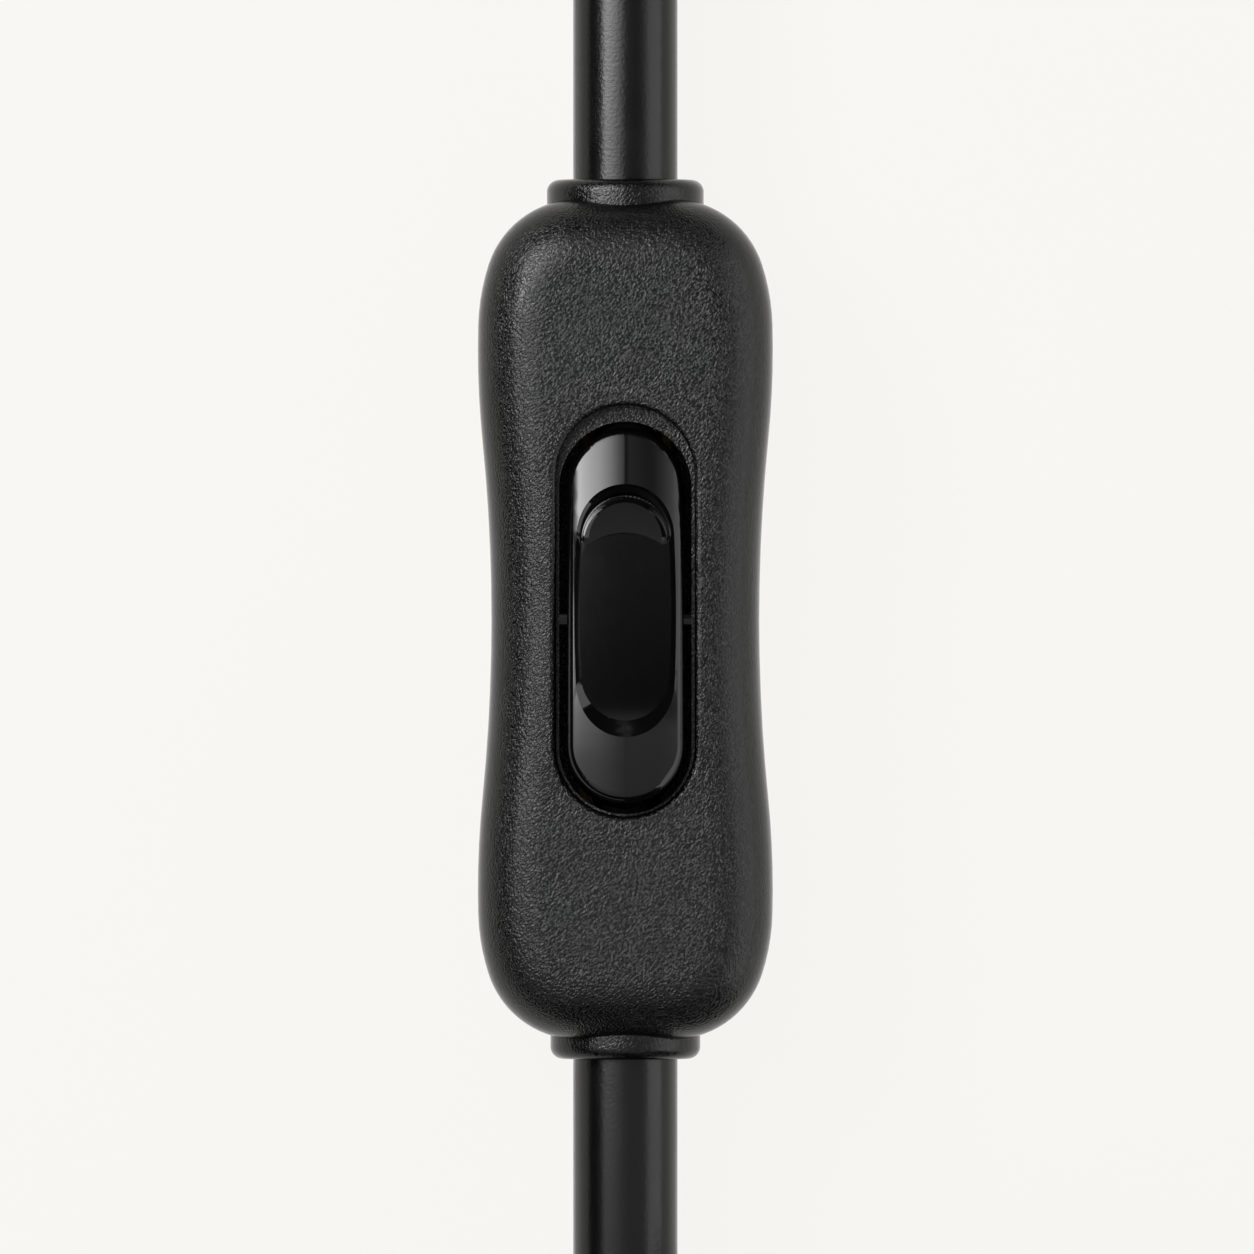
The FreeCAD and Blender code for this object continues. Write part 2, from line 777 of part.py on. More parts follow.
def make_fulcrum_terminal():
    """Brass strip folded up to a rolled edge under the lever, running to the plug-side screw."""
    points = [
        V(0, -terminal_station + pad_length / 2 - 0.2, strip_middle),
        V(0, -knife_run, strip_middle),
        V(0, 0, knife_apex),
        V(0, knife_run, strip_middle),
        V(0, knife_run + 1.2, strip_middle),
    ]
    strip = folded_strip(points, strip_thickness, strip_width).fuse(terminal_pad(-1))
    half = strip_width / 2
    return one_solid(strip.fuse(rod(knife_round, V(-half, 0, knife_height), V(half, 0, knife_height))))


def make_outlet_terminal():
    """Flat brass strip from under the moving contact to the lamp-side screw."""
    start = contact_station - fixed_contact_radius - 0.5
    strip = block(-strip_width / 2, strip_width / 2, start, terminal_station - 1.9, plinth_top, strip_top)
    return one_solid(strip.fuse(terminal_pad(1)))


def closed_contact_height():
    """Height of the moving contact's face when the lever is tipped the other way."""
    turn = math.radians(lever_tilt)
    face = lever_groove - lever_play + contact_dome
    return knife_height - contact_station * math.sin(turn) - face * math.cos(turn)


def make_fixed_contact():
    """Silver contact standing on the outlet terminal."""
    top = closed_contact_height() - 3 * lever_play
    button = cylinder(fixed_contact_radius, strip_top, top, y=contact_station - 0.15)
    return button.makeFillet(0.3, edges_at(button, top))


def make_terminal_screws():
    """Two binding screws, each holding a bared conductor on its pad."""
    seat = strip_top + 2 * conductor_radius
    length = seat - wall - head_play
    screws = []
    for end in (1, -1):
        screw = cross_screw(terminal_head_radius, terminal_head_height, terminal_screw_radius, length)
        screw.translate(V(0, end * terminal_station, seat))
        screws.append(screw)
    return Part.makeCompound(screws)


def make_conductor_ends():
    """Bared strands of the two live cores, each beside its terminal screw."""
    ends = []
    height = strip_top + conductor_radius
    for end in (1, -1):
        start = V(conductor_offset, end * live_end_y(), height)
        ends.append(rod(conductor_radius, start, V(conductor_offset, end * (terminal_station - 2), height)))
    return Part.makeCompound(ends)


def live_end_y():
    """Where the insulation of a live core stops, just short of its terminal pad."""
    return terminal_station + pad_length / 2 + 0.05


def jacket_end():
    """Where the cord jacket is cut back inside the housing."""
    return half_body - jacket_inset


def make_live_core(end, name):
    """Insulated live core from the jacket round the screw pillar to its terminal."""
    y = jacket_end()
    height = strip_top + conductor_radius
    points = [
        V(core_spacing / 2, y + core_socket, cord_height),
        V(core_spacing / 2, y - 0.5, cord_height),
        V(live_lane, y - 2.8, cord_height - 1.2),
        V(live_lane, live_end_y() + 2.8, height + 0.7),
        V(conductor_offset, live_end_y() + 1.4, height),
        V(conductor_offset, live_end_y(), height),
    ]
    return tube([V(p.x, end * p.y, p.z) for p in points], core_radius, name)


def make_neutral_core():
    """Uncut neutral core, led past the mechanism along one side wall."""
    y = jacket_end()
    lane = waist_width / 2 - wall - core_radius - neutral_lane_gap
    half = [
        V(-core_spacing / 2, y + core_socket, cord_height),
        V(-core_spacing / 2, y - 0.5, cord_height),
        V(-boss_radius - 2.0, y - 2.8, cord_height - 1.1),
        V(-lane, live_end_y() + 0.4, plinth_top + 1.8),
    ]
    points = half + [V(p.x, -p.y, p.z) for p in half[::-1]]
    return tube(points, core_radius, "neutral_core")


def make_jacket(end):
    """Cord jacket inside the bush and clamp, with the two cores let into its cut face."""
    y = jacket_end()
    jacket = rod(cord_radius, V(0, end * y, cord_height), V(0, end * mouth, cord_height))
    for side in (1, -1):
        start = V(side * core_spacing / 2, end * (y - 1), cord_height)
        jacket = jacket.cut(rod(core_radius + core_play, start, start + V(0, end * (1 + core_socket), 0)))
    return one_solid(jacket)


def make_bush(end, collar):
    """Soft cord bush: rounded collar outside, neck in the end wall, flange inside."""
    inner = half_body - end_wall
    outside = rod(collar / 2, V(0, half_body - collar_depth, cord_height), V(0, mouth, cord_height))
    lip = [e for e in outside.Edges if abs(e.BoundBox.YMin - mouth) < 0.001]
    outside = outside.makeFillet(collar_round, lip)
    bush = outside.fuse(rod(neck_radius, V(0, inner, cord_height), V(0, half_body, cord_height)))
    flange_face = V(0, inner - flange_thickness, cord_height)
    bush = bush.fuse(rod(flange_radius, flange_face, V(0, inner, cord_height)))
    bush = one_solid(bush.cut(rod(cord_radius, V(0, 0, cord_height), V(0, mouth + 1, cord_height))))
    return bush if end > 0 else bush.mirror(V(), AXIS_Y)


def make_clamp(end):
    """Saddle strap over the cord jacket with an ear on each post."""
    y = end * (half_body - clamp_inset)
    low = y - clamp_width / 2
    high = y + clamp_width / 2
    ears = block(-clamp_span / 2, clamp_span / 2, low, high, clamp_seat, clamp_seat + clamp_strap)
    arch = rod(cord_radius + clamp_strap, V(0, low, cord_height), V(0, high, cord_height))
    arch = arch.common(block(-clamp_span, clamp_span, low, high, clamp_seat, body_height))
    strap = ears.fuse(arch).cut(rod(cord_radius, V(0, low - 1, cord_height), V(0, high + 1, cord_height)))
    for side in (1, -1):
        hole = cylinder(clamp_screw_radius + clamp_hole_play, 0, body_height, side * clamp_screw_offset, y)
        strap = strap.cut(hole)
    return one_solid(strap)


def make_clamp_screws():
    """Four screws that pull the two saddle straps down on the jacket."""
    screws = []
    for end in (1, -1):
        for side in (1, -1):
            screw = cross_screw(clamp_head_radius, clamp_head_height, clamp_screw_radius, clamp_screw_length)
            place = V(side * clamp_screw_offset, end * (half_body - clamp_inset), clamp_seat + clamp_strap)
            screw.translate(place)
            screws.append(screw)
    return Part.makeCompound(screws)


def rounded_section(half_y, low, high, radius, x):
    """A rounded rectangle across the hank's bundle, in the plane of Y and Z at a given X."""
    face = Part.Face(Part.makePolygon([
        V(x, -half_y, low),
        V(x, half_y, low),
        V(x, half_y, high),
        V(x, -half_y, high),
        V(x, -half_y, low),
    ]))
    slab = face.extrude(V(1, 0, 0))
    corners = [e for e in slab.Edges if e.BoundBox.XLength > 0.5]
    slab = slab.makeFillet(radius, corners)
    ends = [f for f in slab.Faces if abs(f.BoundBox.XMax - x) < 0.001]
    return ends[0]


def bundle_section(growth, layers):
    """The hank's bundle of turns in the plane X = 0, centred on Y = 0."""
    half = hank_rows * cord_radius + growth
    high = hank_lift + layers * cord_diameter + growth
    return rounded_section(half, hank_lift - growth, high, cord_radius + growth, 0)


def place_with_hank(shape):
    """Turns a piece drawn along X with the hank and moves it to the hank's place."""
    shape.rotate(V(), AXIS_Z, 90)
    shape.translate(V(hank_x, hank_centre_y, 0))
    return shape


def make_plug_cord_hank():
    """Outer shape of the folded cord: two runs, two folds, the end that comes in and the one on top."""
    section = bundle_section(hank_margin, hank_layers)
    section.translate(V(hank_half_run, -hank_middle, 0))
    run = section.extrude(V(-2 * hank_half_run, 0, 0))
    half = run.fuse(section.revolve(V(hank_half_run, 0, 0), AXIS_Z, 180))
    other = half.copy()
    other.rotate(V(), AXIS_Z, 180)
    hank = place_with_hank(half.fuse(other))
    top = plug_tail_points[0]
    bend = top + V(0, top_climb / 4, 0)
    foot = V(top.x, top.y + top_climb, hank_top - cord_radius)
    for start, end in ((plug_cord_points[-1], V(0, hank_fold_y, hank_low)), (top, bend), (bend, foot)):
        hank = hank.fuse(rod(cord_radius, start, end))
    return one_solid(hank.fuse(Part.makeSphere(cord_radius, bend)))


def make_cord_tie():
    """Flat tie round one run of the hank and the turn on top of it, with its twisted ends above."""
    layers = hank_layers + 1
    growth = hank_margin + tie_play
    inner = bundle_section(growth, layers).extrude(V(tie_width, 0, 0))
    band = bundle_section(growth + tie_thickness, layers).extrude(V(tie_width, 0, 0)).cut(inner)
    top = hank_lift + layers * cord_diameter + growth + tie_width / 4
    middle = tie_width / 2
    band = band.fuse(rod(tie_width / 4, V(middle, -tie_twist_inner, top), V(middle, tie_twist_outer, top)))
    band.translate(V(tie_station - tie_width / 2, hank_middle, 0))
    return one_solid(place_with_hank(band))


def plug_section(y, width, thickness, corner):
    """A rounded rectangle across the plug at a given Y."""
    x = plug_x
    z = plug_height
    slab = block(x - width / 2, x + width / 2, y, y + 1, z - thickness / 2, z + thickness / 2)
    corners = [e for e in slab.Edges if e.BoundBox.YLength > 0.5]
    slab = slab.makeFillet(corner, corners)
    return [f for f in slab.Faces if abs(f.BoundBox.YMax - y) < 0.001][0].OuterWire


def strain_relief():
    """Ribbed cone over the cord where it enters the plug."""
    place = V(plug_x, plug_cord_end_y, plug_height)
    relief = Part.makeCone(relief_start_radius, relief_end_radius, relief_length, place, AXIS_Y)
    pitch = relief_length / (relief_rings + 1)
    for i in range(relief_rings):
        along = pitch * (i + relief_first_groove)
        skin = relief_start_radius + (relief_end_radius - relief_start_radius) * along / relief_length
        foot = place + V(0, along, 0)
        ring = Part.makeCylinder(skin + 1, pitch * relief_groove_share, foot, AXIS_Y)
        core = Part.makeCylinder(skin - relief_groove, pitch * relief_groove_share, foot, AXIS_Y)
        relief = relief.cut(ring.cut(core))
    return relief


def make_plug_body():
    """Moulded grip with its strain relief in one piece."""
    start = plug_cord_end_y + relief_length
    grip = start + plug_length * plug_grip_station
    sections = [
        plug_section(start - 1, plug_neck_width, plug_neck_thickness, plug_corner),
        plug_section(grip, plug_width * plug_grip_taper, plug_thickness * plug_grip_share, plug_corner),
        plug_section(start + plug_length, plug_width, plug_thickness, plug_corner),
    ]
    body = Part.makeLoft(sections, True, False)
    rim = [e for e in body.Edges if e.BoundBox.YMin > start + plug_length - 0.01]
    return one_solid(body.makeFillet(plug_rim_round, rim).fuse(strain_relief()))


def make_plug_blades():
    """Two flat blades, the neutral one wider, each with a hole near its chamfered tip."""
    z = plug_height
    start = plug_cord_end_y + relief_length + plug_length
    blades = []
    for side, width in ((-1, blade_width), (1, neutral_blade_width)):
        x = plug_x + side * blade_spacing / 2
        half = blade_thickness / 2
        blade = block(x - half, x + half, start, start + blade_length, z - width / 2, z + width / 2)
        tips = [e for e in blade.Edges if e.BoundBox.YMin > start + blade_length - 0.01]
        blade = blade.makeChamfer(blade_thickness * 0.3, tips)
        place = V(x - 1, start + blade_length - blade_hole_inset, z)
        blades.append(blade.cut(Part.makeCylinder(blade_hole_radius, 2, place, AXIS_X)))
    return Part.makeCompound(blades)


def lead_line(side, from_end, to_end):
    """Start and end of a stretch of one lamp lead, measured from the cut jacket."""
    end = lamp_cord_points[-1]
    ahead = end - lamp_cord_points[-2]
    ahead.normalize()
    across = V(side * ahead.y, -side * ahead.x, 0)
    inner = end + across * lead_radius
    outer = inner + ahead * lead_length + across * lead_spread - V(0, 0, lead_droop)
    along = outer - inner
    along.normalize()
    return inner + along * from_end, inner + along * to_end


def make_lamp_leads():
    """The two insulated cores that stick out of the lamp end."""
    return Part.makeCompound([rod(lead_radius, *lead_line(side, 0.25, lead_length)) for side in (1, -1)])


def make_lamp_lead_tips():
    """Tinned strand ends of the lamp leads."""
    ends = []
    for side in (1, -1):
        start, end = lead_line(side, lead_length, lead_length + tip_length)
        ends.append(rod(tip_radius, start, end))
    return Part.makeCompound(ends)


def make_parts():
    """Every piece by its node name."""
    return {
        "top_cover": make_top_cover(),
        "base_cover": make_base_cover(),
        "cover_screws": make_cover_screws(),
        "rocker": tip_with_rocker(make_rocker()),
        "plunger": tip_with_rocker(make_plunger()),
        "plunger_spring": tip_with_rocker(make_spring()),
        "contact_lever": tip_with_lever(make_contact_lever()),
        "moving_contact": tip_with_lever(make_moving_contact()),
        "fulcrum_terminal": make_fulcrum_terminal(),
        "outlet_terminal": make_outlet_terminal(),
        "fixed_contact": make_fixed_contact(),
        "terminal_screws": make_terminal_screws(),
        "conductor_ends": make_conductor_ends(),
        "live_in_core": make_live_core(-1, "live_in_core"),
        "live_out_core": make_live_core(1, "live_out_core"),
        "neutral_core": make_neutral_core(),
        "inlet_jacket": make_jacket(-1),
        "outlet_jacket": make_jacket(1),
        "inlet_bush": make_bush(-1, inlet_collar),
        "outlet_bush": make_bush(1, outlet_collar),
        "inlet_clamp": make_clamp(-1),
        "outlet_clamp": make_clamp(1),
        "clamp_screws": make_clamp_screws(),
        "plug_cord": tube(plug_cord_points, cord_radius, "plug_cord"),
        "plug_cord_hank": make_plug_cord_hank(),
        "plug_cord_tail": tube(plug_tail_points, cord_radius, "plug_cord_tail"),
        "cord_tie": make_cord_tie(),
        "plug_body": make_plug_body(),
        "plug_blades": make_plug_blades(),
        "lamp_cord": tube(lamp_cord_points, cord_radius, "lamp_cord"),
        "lamp_leads": make_lamp_leads(),
        "lamp_lead_tips": make_lamp_lead_tips(),
    }


def write_parts():
    """One STEP file for each node, with its solids, volume and box printed."""
    os.makedirs("parts", exist_ok=True)
    for name, shape in make_parts().items():
        box = shape.BoundBox
        spans = ["%.2f..%.2f" % s for s in ((box.XMin, box.XMax), (box.YMin, box.YMax), (box.ZMin, box.ZMax))]
        print(name, len(shape.Solids), shape.isValid(), "%.1f" % shape.Volume, *spans)
        shape.exportStep("parts/" + name + ".step")


write_parts()
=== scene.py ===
import math

import bpy
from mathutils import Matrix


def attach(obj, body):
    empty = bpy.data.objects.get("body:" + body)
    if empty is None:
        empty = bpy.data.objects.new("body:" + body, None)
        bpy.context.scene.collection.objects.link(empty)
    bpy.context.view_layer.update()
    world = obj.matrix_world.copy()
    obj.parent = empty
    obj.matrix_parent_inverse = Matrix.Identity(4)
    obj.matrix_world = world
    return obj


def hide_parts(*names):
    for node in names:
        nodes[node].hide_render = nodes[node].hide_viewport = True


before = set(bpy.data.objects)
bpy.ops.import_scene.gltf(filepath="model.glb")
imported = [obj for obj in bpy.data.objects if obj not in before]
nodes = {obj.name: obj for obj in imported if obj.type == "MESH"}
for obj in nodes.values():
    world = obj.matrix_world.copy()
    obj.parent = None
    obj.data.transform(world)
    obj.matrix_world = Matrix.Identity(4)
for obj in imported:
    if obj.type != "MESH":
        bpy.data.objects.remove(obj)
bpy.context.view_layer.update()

MM = 0.001

# The cord, the same points as the part's source, in metres
CORD = 7.3 * MM
MOUTH = 30.8 * MM
CORD_HEIGHT = 8.0 * MM
FOLD_RADIUS = 21.9 * MM
HALF_RUN = 23.0 * MM
HANK_Y = -102.5 * MM
HANK_LOW = 4.35 * MM
HANK_X = FOLD_RADIUS + CORD
POINTS_PER_TURN = 20
TURNS = 6
CORD_STEPS = 8

ENTRY_RUN = [
    (0, -MOUTH, CORD_HEIGHT),
    (0, -0.0435, CORD_HEIGHT),
    (0, -0.0575, 0.00658),
    (0, -0.0795, HANK_LOW),
]
TOP_RUN = [
    (0.002, -0.1075, 0.0265),
    (0.002, -0.1406, 0.0265),
    (0.0163, -0.1549, 0.0276),
    (0.0365, -0.1549, 0.0289),
    (0.0508, -0.1406, 0.0301),
    (0.0508, -0.12, 0.0301),
]
LAMP_RUN = [
    (0, MOUTH, CORD_HEIGHT),
    (0, 0.041, CORD_HEIGHT),
    (0, 0.0515, 0.0075),
    (0.0029, 0.0631, 0.0066),
    (0.0094, 0.0744, 0.0054),
    (0.0189, 0.0833, 0.0044),
    (0.0306, 0.089, 0.0037),
]

# Each pass of the hank: its fold radius and height, counted in cord diameters from the inner, lowest one
PASSES = [(1, 0), (0, 0), (0, 1), (1, 1), (1, 2), (0, 2), (0.73, 3.034)]

# A pass moves to the next place within this stretch of its turn, the upper passes a little sooner
CHANGE_END = 0.88
CHANGE_SPAN = 0.2
CHANGE_LEAD = 0.02
TOP_SHIFT = (0.82, 1.0)

# The photograph's frame: straight down, 87.8 mm across, its middle a little off the switch's
FRAME_WIDTH = 87.8 * MM
FRAME_MIDDLE = (0.115 * MM, -0.54 * MM)
CAMERA_HEIGHT = 1.6
FOCUS_HEIGHT = 10 * MM
SENSOR = 36.0
CLIP_NEAR = 0.01
CLIP_FAR = 10

# The crescent's chamfered rim on the rocker: middle, inner and outer slope radii, and where its tips fade
CRESCENT_MIDDLE = (0, 5.577 * MM, 0)
RIM_INSIDE = (2.55 * MM, 2.95 * MM)
RIM_OUTSIDE = (2.95 * MM, 3.05 * MM)
RIM_TIPS = (-0.3 * MM, 0.3 * MM)
RIM_RISE = 0.24 * MM

# Studio: one graded panel overhead to the left, a card on the right, a pale floor
PANEL_HEIGHT = 0.3
PANEL_X = (-0.42, 0.36)
PANEL_Y = (-0.4, 0.46)
PANEL_STRENGTH = 30.0
RAMP_REACH = 1.6
CARD_X = 0.36
CARD_HALF_WIDTH = 0.3
CARD_LOW = 0.02
CARD_HIGH = 0.3
CARD_STRENGTH = 2.4
FLOOR_HALF = 1.5
FLOOR_COLOR = (0.918, 0.909, 0.878)
FLOOR_GLOW = 0.975
ROOM_COLOR = (0.9, 0.95, 1.0)
ROOM_STRENGTH = 0.03

# The panel's grading, as places and levels. A place is the tangent of the direction from straight up.
ACROSS_STOPS = [
    (-1.26, 0.0), (-1.12, 0.72), (-0.9, 0.58), (-0.48, 0.38), (-0.28, 0.23), (-0.1, 0.09), (-0.022, 0.05),
    (-0.02, 0.004), (0.015, 0.005), (0.06, 0.02), (0.25, 0.015), (0.42, 0.011), (0.57, 0.013), (0.75, 0.025),
    (1.15, 0.06),
]
ALONG_STOPS = [
    (-0.6, 0.02), (-0.06, 0.08), (-0.02, 0.15), (0.02, 0.2), (0.12, 0.45), (0.3, 0.9), (0.42, 1.0),
    (0.75, 0.85), (1.3, 0.3), (1.5, 0.0),
]
LOW_STOPS = [(-1.33, 0.02), (-0.2, 0.02), (0.018, 0.024), (0.034, 0.0)]

# Black plastics and the housing's leathery grain
SATIN_BLACK = (0.0014, 0.0014, 0.0014)
GLOSS_BLACK = (0.001, 0.001, 0.001)
GRAIN_STRETCH = (1.0, 0.55, 1.0)
GRAIN_TURN = math.radians(-45)
GRAIN_SCALE = 7600
FINE_GRAIN_SCALE = 12000
FINE_GRAIN_SHARE = 0.2


def place_camera():
    """A long lens looking straight down, with +Y up in the picture."""
    data = bpy.data.cameras.new("camera")
    data.sensor_width = SENSOR
    data.lens = SENSOR * (CAMERA_HEIGHT - FOCUS_HEIGHT) / FRAME_WIDTH
    data.clip_start = CLIP_NEAR
    data.clip_end = CLIP_FAR
    camera = bpy.data.objects.new("camera", data)
    camera.location = (FRAME_MIDDLE[0], FRAME_MIDDLE[1], CAMERA_HEIGHT)
    bpy.context.scene.collection.objects.link(camera)
    bpy.context.scene.camera = camera


def eased(value, low, high):
    """How far a value is from low to high, starting and ending gently."""
    share = min(max((value - low) / (high - low), 0), 1)
    return share * share * (3 - 2 * share)


def hank_pass(turn):
    """Fold radius and height of the cord after a number of turns round the hank."""
    lap = int(turn)
    here, ahead = PASSES[lap], PASSES[min(lap + 1, TURNS)]
    high = CHANGE_END - CHANGE_LEAD * lap
    climb = eased(turn - lap, high - CHANGE_SPAN, high)
    shift = eased(turn - lap, *TOP_SHIFT) if lap == TURNS - 1 else climb
    column = here[0] + (ahead[0] - here[0]) * shift
    layer = here[1] + (ahead[1] - here[1]) * climb
    return FOLD_RADIUS + CORD * column, HANK_LOW + CORD * layer


def hank_point(turn):
    """A control point of the folded cord, counted in turns from the middle of the run next to x = 0."""
    radius, height = hank_pass(turn)
    bend = math.pi * radius
    around = 4 * HALF_RUN + 2 * bend
    along = (turn % 1) * around
    swell = radius / math.cos(math.pi * around / POINTS_PER_TURN / (2 * bend))
    if along < HALF_RUN:
        x, y = -radius, -along
    elif along < HALF_RUN + bend:
        angle = (along - HALF_RUN) / radius
        x, y = -swell * math.cos(angle), -HALF_RUN - swell * math.sin(angle)
    elif along < 3 * HALF_RUN + bend:
        x, y = radius, along - 2 * HALF_RUN - bend
    elif along < 3 * HALF_RUN + 2 * bend:
        angle = (along - 3 * HALF_RUN - bend) / radius
        x, y = swell * math.cos(angle), HALF_RUN + swell * math.sin(angle)
    else:
        x, y = -radius, around - along
    return HANK_X + x, HANK_Y + y, height


def hank_points():
    """Control points of the folded cord, six turns, from the run next to x = 0 round to the turn on top."""
    return [hank_point((i + 0.5) / POINTS_PER_TURN) for i in range(TURNS * POINTS_PER_TURN)]


def make_cord(name, points, radius):
    """One smooth cord along its control points."""
    curve = bpy.data.curves.new(name, "CURVE")
    curve.dimensions = "3D"
    spline = curve.splines.new("NURBS")
    spline.points.add(len(points) - 1)
    for target, point in zip(spline.points, points):
        target.co = (*point, 1)
    spline.order_u = 3
    spline.use_endpoint_u = True
    spline.resolution_u = CORD_STEPS
    curve.bevel_depth = radius
    curve.bevel_resolution = CORD_STEPS
    curve.use_fill_caps = True
    cord = bpy.data.objects.new(name, curve)
    bpy.context.scene.collection.objects.link(cord)
    return cord


def spline_length(points):
    """Length of the smooth line a cord follows."""
    bare = make_cord("measure", points, 0)
    mesh = bpy.data.meshes.new_from_object(bare)
    places = [vertex.co for vertex in mesh.vertices]
    total = sum((places[edge.vertices[0]] - places[edge.vertices[1]]).length for edge in mesh.edges)
    bpy.data.objects.remove(bare)
    return total


class Shader:
    """A material's node tree, with one short call for each node and link."""

    def __init__(self, name):
        self.material = bpy.data.materials.new(name)
        self.material.use_nodes = True
        self.tree = self.material.node_tree
        self.tree.nodes.clear()
        self.out = self.tree.nodes.new("ShaderNodeOutputMaterial")

    def node(self, kind, **inputs):
        """A node with some inputs set or linked, by name or by number."""
        made = self.tree.nodes.new(kind)
        for key, value in inputs.items():
            socket = int(key[2:]) if key.startswith("i_") else key.replace("_", " ")
            self.feed(made.inputs[socket], value)
        return made

    def feed(self, socket, value):
        """Links a socket or sets a constant."""
        if isinstance(value, bpy.types.NodeSocket):
            self.tree.links.new(value, socket)
        else:
            socket.default_value = value

    def position(self, stretch=(1, 1, 1), turn=0):
        """Object coordinates, turned about Z and then stretched."""
        coords = self.node("ShaderNodeTexCoord")
        mapping = self.node("ShaderNodeMapping", Vector=coords.outputs["Object"])
        mapping.vector_type = "TEXTURE"
        mapping.inputs["Scale"].default_value = [1 / factor for factor in stretch]
        mapping.inputs["Rotation"].default_value = (0, 0, turn)
        return mapping.outputs["Vector"]

    def noise(self, vector, scale, detail=2.0, roughness=0.5):
        """A noise value about one half."""
        made = self.node("ShaderNodeTexNoise", Vector=vector, Scale=scale, Detail=detail, Roughness=roughness)
        return made.outputs["Fac"]

    def math(self, operation, a, b=0.0):
        """One arithmetic step."""
        made = self.node("ShaderNodeMath", i_0=a, i_1=b)
        made.operation = operation
        return made.outputs[0]

    def remap(self, value, low, high, to_low, to_high, kind="SMOOTHSTEP"):
        """A value moved from one range to another, smoothly unless told otherwise."""
        made = self.node("ShaderNodeMapRange", Value=value)
        made.interpolation_type = kind
        made.inputs["From Min"].default_value = low
        made.inputs["From Max"].default_value = high
        made.inputs["To Min"].default_value = to_low
        made.inputs["To Max"].default_value = to_high
        return made.outputs["Result"]

    def bump(self, height, depth, normal=None):
        """A bump of the given depth in metres."""
        made = self.node("ShaderNodeBump", Height=height, Distance=depth)
        if normal is not None:
            self.feed(made.inputs["Normal"], normal)
        return made.outputs["Normal"]

    def tint(self, factor, dark, light):
        """A colour between two, by a factor."""
        made = self.node("ShaderNodeMix")
        made.data_type = "RGBA"
        self.feed(made.inputs["Factor"], factor)
        made.inputs["A"].default_value = (*dark, 1)
        made.inputs["B"].default_value = (*light, 1)
        return made.outputs["Result"]

    def grey_ramp(self, value, stops):
        """A grey level by a value, straight between stops at places from -RAMP_REACH to RAMP_REACH."""
        share = self.node("ShaderNodeMath", i_0=value, i_1=1 / (2 * RAMP_REACH), i_2=0.5)
        share.operation = "MULTIPLY_ADD"
        made = self.node("ShaderNodeValToRGB", Fac=share.outputs[0])
        ramp = made.color_ramp
        ramp.interpolation = "LINEAR"
        while len(ramp.elements) < len(stops):
            ramp.elements.new(1.0)
        for element, (place, level) in zip(ramp.elements, stops):
            element.position = (place + RAMP_REACH) / (2 * RAMP_REACH)
            element.color = (level, level, level, 1)
        return made.outputs["Color"]

    def principled(self, color, roughness, normal=None, metallic=0.0, specular=0.5):
        """The surface itself."""
        made = self.node("ShaderNodeBsdfPrincipled", Roughness=roughness, Metallic=metallic)
        if isinstance(color, bpy.types.NodeSocket):
            self.feed(made.inputs["Base Color"], color)
        else:
            made.inputs["Base Color"].default_value = (*color, 1)
        made.inputs["Specular IOR Level"].default_value = specular
        if normal is not None:
            self.feed(made.inputs["Normal"], normal)
        self.tree.links.new(made.outputs[0], self.out.inputs[0])
        return self.material


def grained_plastic(name, grain_depth, roughness):
    """Black moulded plastic with a fine leathery grain that fades on the steep sides."""
    s = Shader(name)
    place = s.position(stretch=GRAIN_STRETCH, turn=GRAIN_TURN)
    coarse = s.remap(s.noise(place, scale=GRAIN_SCALE, detail=1.0), 0.36, 0.64, 0.0, 1.0)
    fine = s.noise(s.position(), scale=FINE_GRAIN_SCALE, detail=1.0)
    height = s.math("ADD", coarse, s.math("MULTIPLY", fine, FINE_GRAIN_SHARE))
    geometry = s.node("ShaderNodeNewGeometry")
    facing = s.node("ShaderNodeSeparateXYZ", Vector=geometry.outputs["Normal"]).outputs["Z"]
    fade = s.remap(s.math("ABSOLUTE", facing), 0.25, 0.85, 0.15, 1.0)
    height = s.math("MULTIPLY", height, fade)
    patches = s.noise(s.position(), scale=160, detail=3.0)
    rough = s.remap(patches, 0.3, 0.7, roughness - 0.03, roughness + 0.03)
    return s.principled(SATIN_BLACK, rough, s.bump(height, grain_depth), specular=0.3)


def crescent_rim(s):
    """A narrow ring, risen towards its outside, that turns the crescent's chamfer into a softer slope."""
    coords = s.node("ShaderNodeTexCoord")
    offset = s.node("ShaderNodeVectorMath", i_0=coords.outputs["Object"], i_1=CRESCENT_MIDDLE)
    offset.operation = "SUBTRACT"
    split = s.node("ShaderNodeSeparateXYZ", Vector=offset.outputs[0])
    x, y = split.outputs["X"], split.outputs["Y"]
    radius = s.math("SQRT", s.math("ADD", s.math("MULTIPLY", x, x), s.math("MULTIPLY", y, y)))
    rise = s.remap(radius, *RIM_INSIDE, 0.0, 1.0, "LINEAR")
    fall = s.remap(radius, *RIM_OUTSIDE, 1.0, 0.0, "LINEAR")
    return s.math("MULTIPLY", s.math("MULTIPLY", rise, fall), s.remap(y, *RIM_TIPS, 0.0, 1.0))


